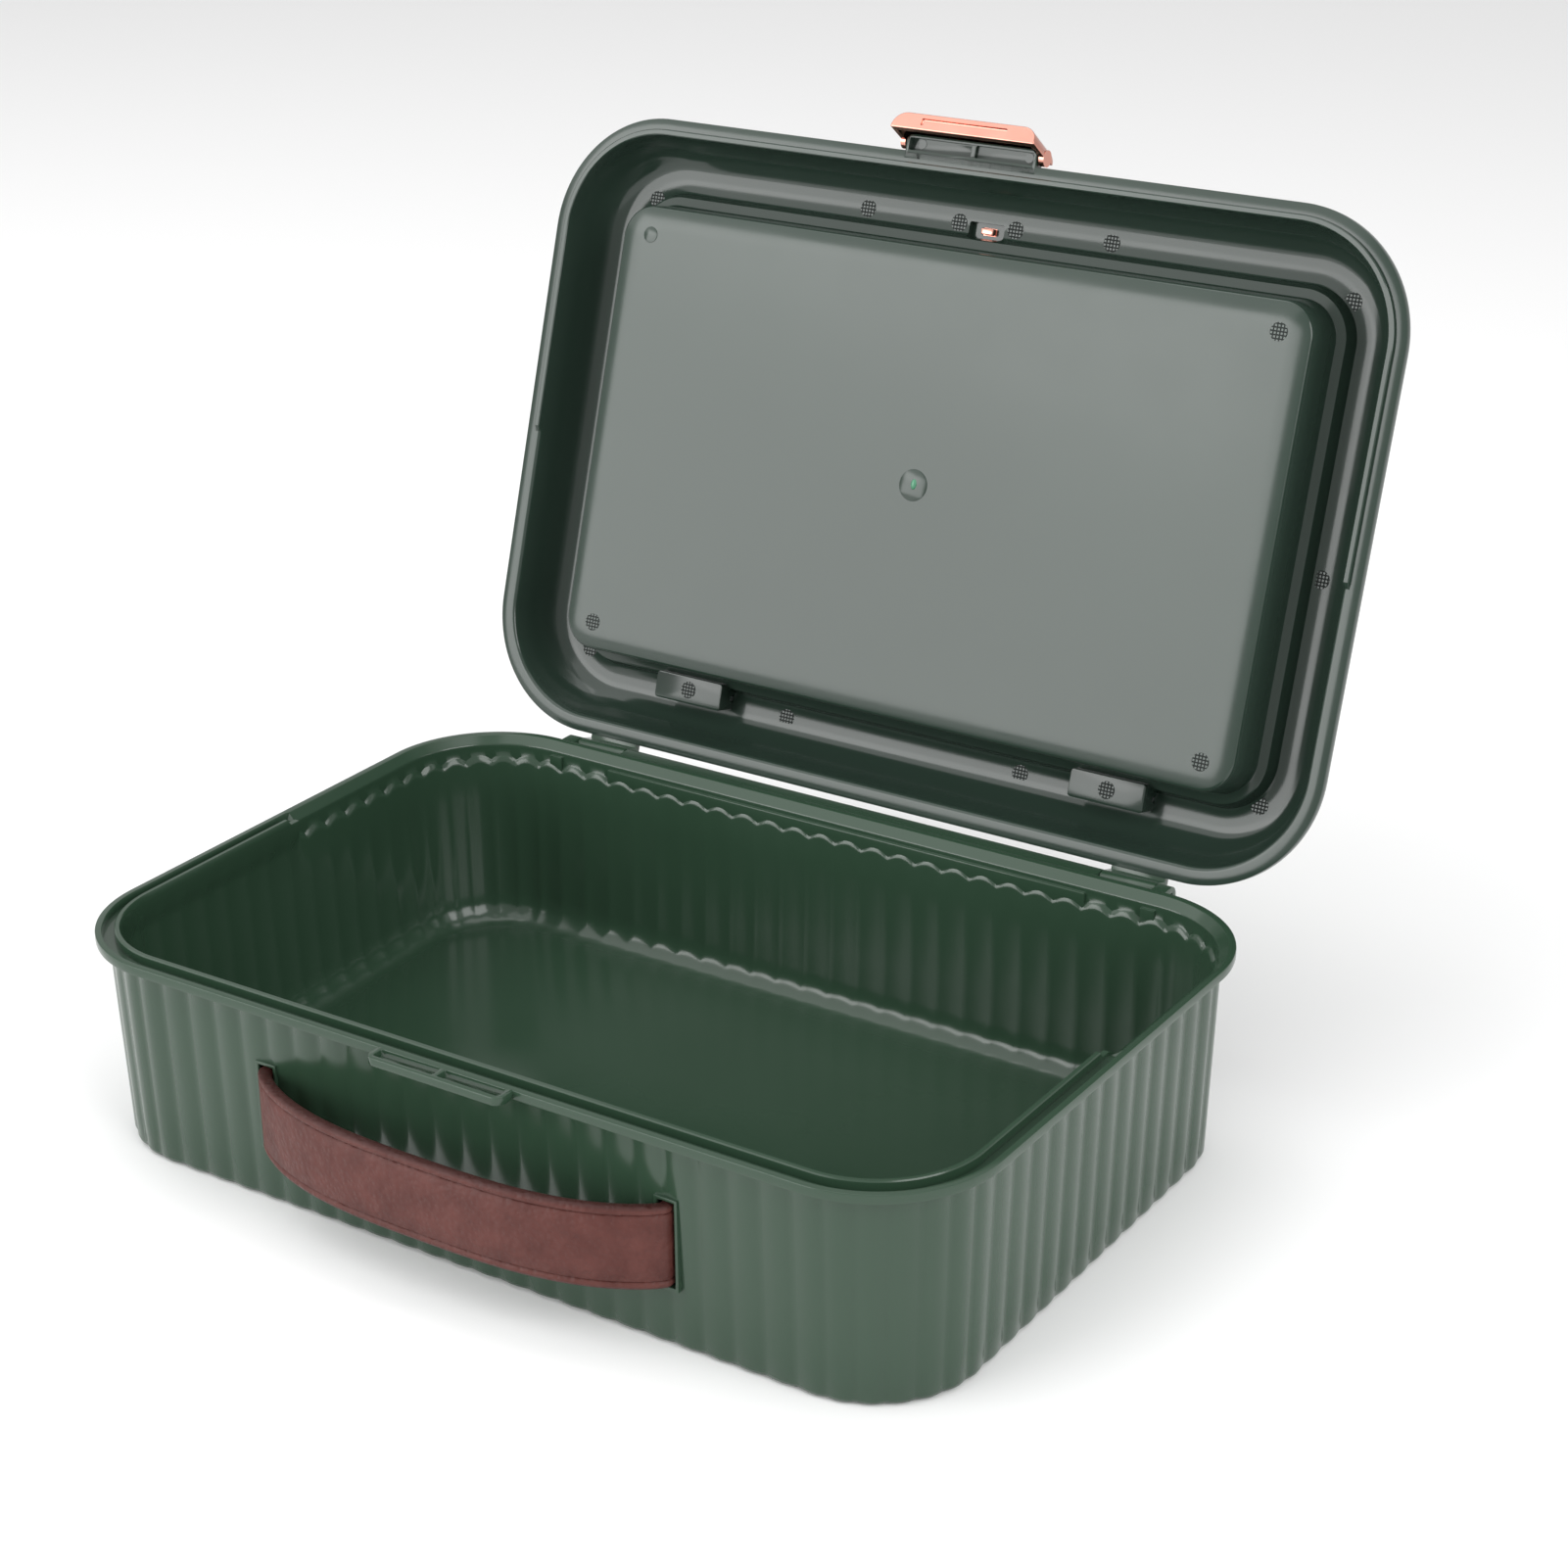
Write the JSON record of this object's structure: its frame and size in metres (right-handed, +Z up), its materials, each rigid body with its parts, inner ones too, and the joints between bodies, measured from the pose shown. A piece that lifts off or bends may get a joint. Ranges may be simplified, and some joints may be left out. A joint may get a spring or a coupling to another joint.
{
  "type": "fluted plastic storage case",
  "caption": "Shallow rounded case with fluted walls, a rear-hinged domed lid with a flap-covered compartment, a bowed strap handle and a front clasp.",
  "frame": {"origin": "centre of the tub's flat underside", "axes": "+X right along the front, -Y out of the handle side, +Z up"},
  "size_m": [0.3018, 0.3038, 0.2716],
  "materials": {
    "green_plastic": "satin gloss forest green",
    "brown_strap": "leather-grained reddish brown",
    "rose_gold": "polished rose gold plating",
    "steel": "plain drawn steel"
  },
  "bodies": {
    "tub_body": {"tub": "green_plastic", "lid_hinge_pin_left": "steel", "lid_hinge_pin_right": "steel"},
    "lid_body": {"lid": "green_plastic", "flap_hinge_pin_left": "steel", "flap_hinge_pin_right": "steel"},
    "clasp_body": {"front_clasp": "rose_gold"},
    "flap_body": {"top_flap": "green_plastic", "flap_snap_tab": "rose_gold"},
    "handle_body": {"carry_handle": "brown_strap"}
  },
  "joints": [
    {"name": "lid_hinge", "type": "hinge", "parent": "tub_body", "child": "lid_body", "pos_m": [0, 0.1058, 0.0629], "axis": [1, 0, 0], "range_deg": [0, 107.5]},
    {"name": "clasp_pivot", "type": "hinge", "parent": "lid_body", "child": "clasp_body", "pos_m": [0, 0.17578, 0.26124], "axis": [1, 0, 0], "range_deg": [-30, 21]},
    {"name": "flap_hinge", "type": "hinge", "parent": "lid_body", "child": "flap_body", "pos_m": [0, 0.13402, 0.07959], "axis": [-1, 0, 0], "range_deg": [0, 90]},
    {"name": "handle_slide", "type": "slide", "parent": "tub_body", "child": "handle_body", "axis": [0, -1, 0], "range_m": [0, 0.0021]}
  ]
}
